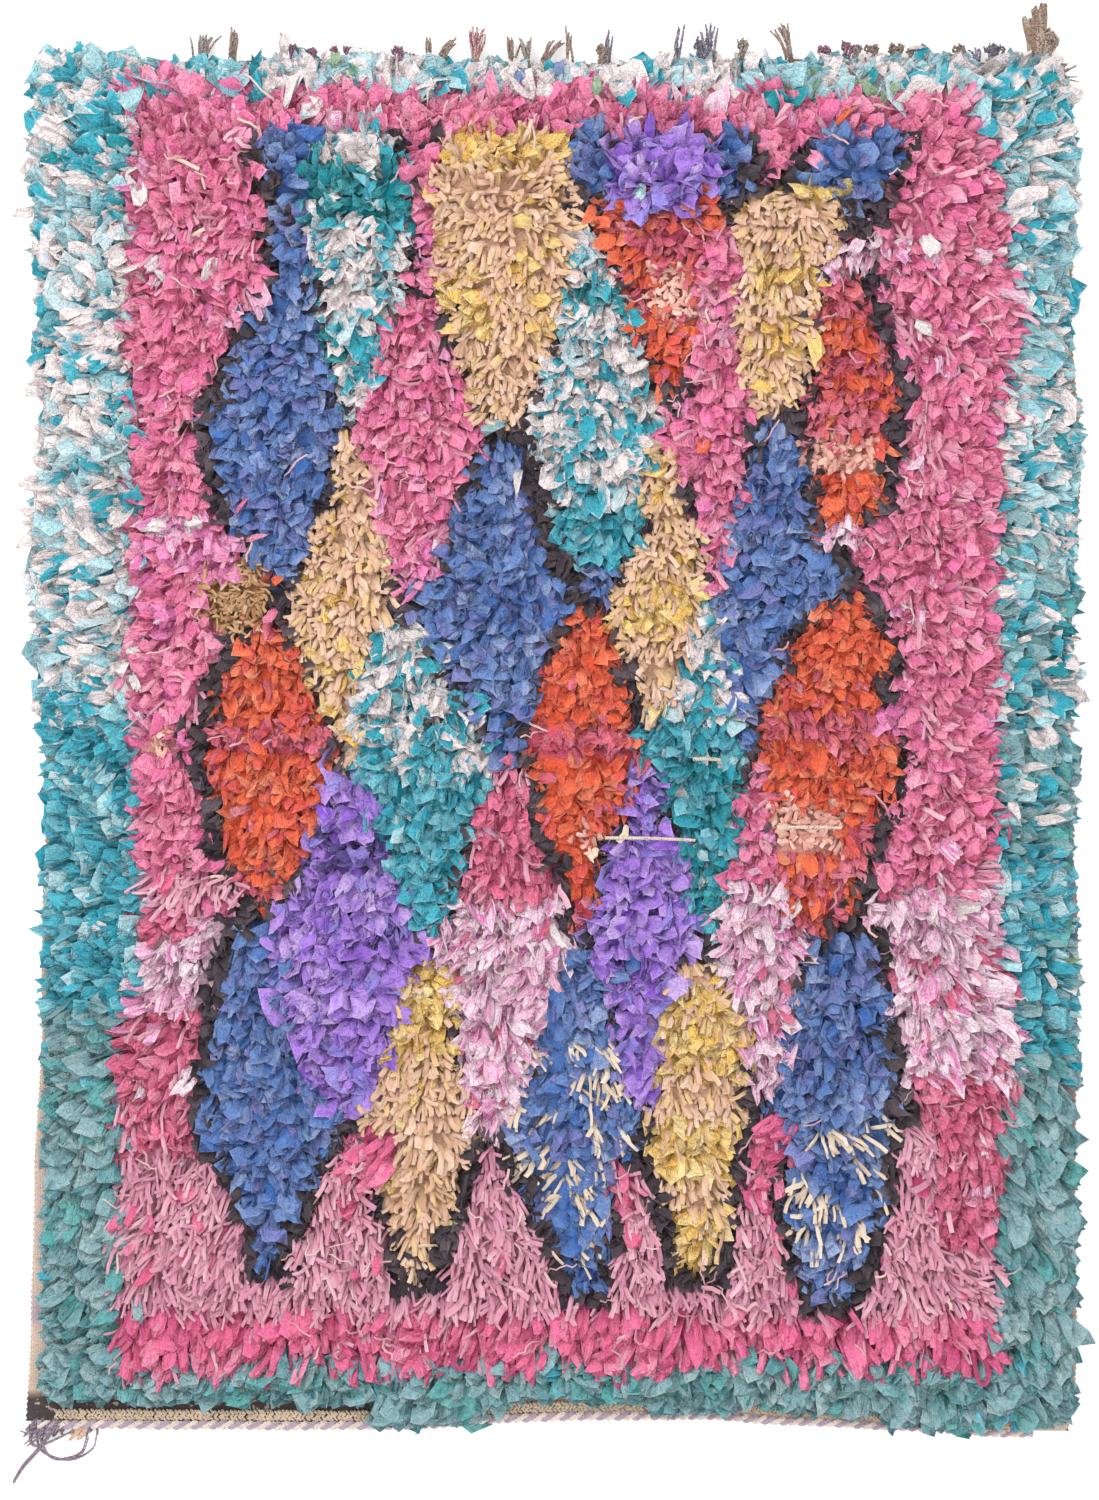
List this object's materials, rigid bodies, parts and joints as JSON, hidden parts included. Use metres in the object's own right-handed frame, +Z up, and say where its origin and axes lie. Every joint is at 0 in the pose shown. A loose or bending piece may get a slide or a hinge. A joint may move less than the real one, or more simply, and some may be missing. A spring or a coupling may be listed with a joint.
{
  "type": "boucherouite rug",
  "caption": "Rectangular floor rug with a deep pile of knotted rag ends in bright lozenges and a wide border, on a woven ground with loose warp ends.",
  "frame": {"origin": "on the flat underside of the woven ground, at the middle of the rug's width and length", "axes": "+Z up out of the pile, +Y along the length towards the end with the knotted warp ends, +X to the rug's right seen from above"},
  "size_m": [1.4109, 1.9329, 0.0361],
  "materials": {
    "rag_cloth": "cut strips of cotton and jersey in many colours, matt, frayed at the cut ends",
    "woven_ground": "coarse tan and cream wool and cotton weave, matt",
    "twined_cord": "two-ply cord in cream and lilac, matt",
    "warp_yarn": "grey, brown and beige plied yarn and jersey, matt"
  },
  "bodies": {
    "root": {"ground_weave": "woven_ground", "rag_pile": "rag_cloth", "end_braid": "twined_cord", "warp_ends": "warp_yarn", "corner_tail": "warp_yarn"}
  },
  "joints": []
}
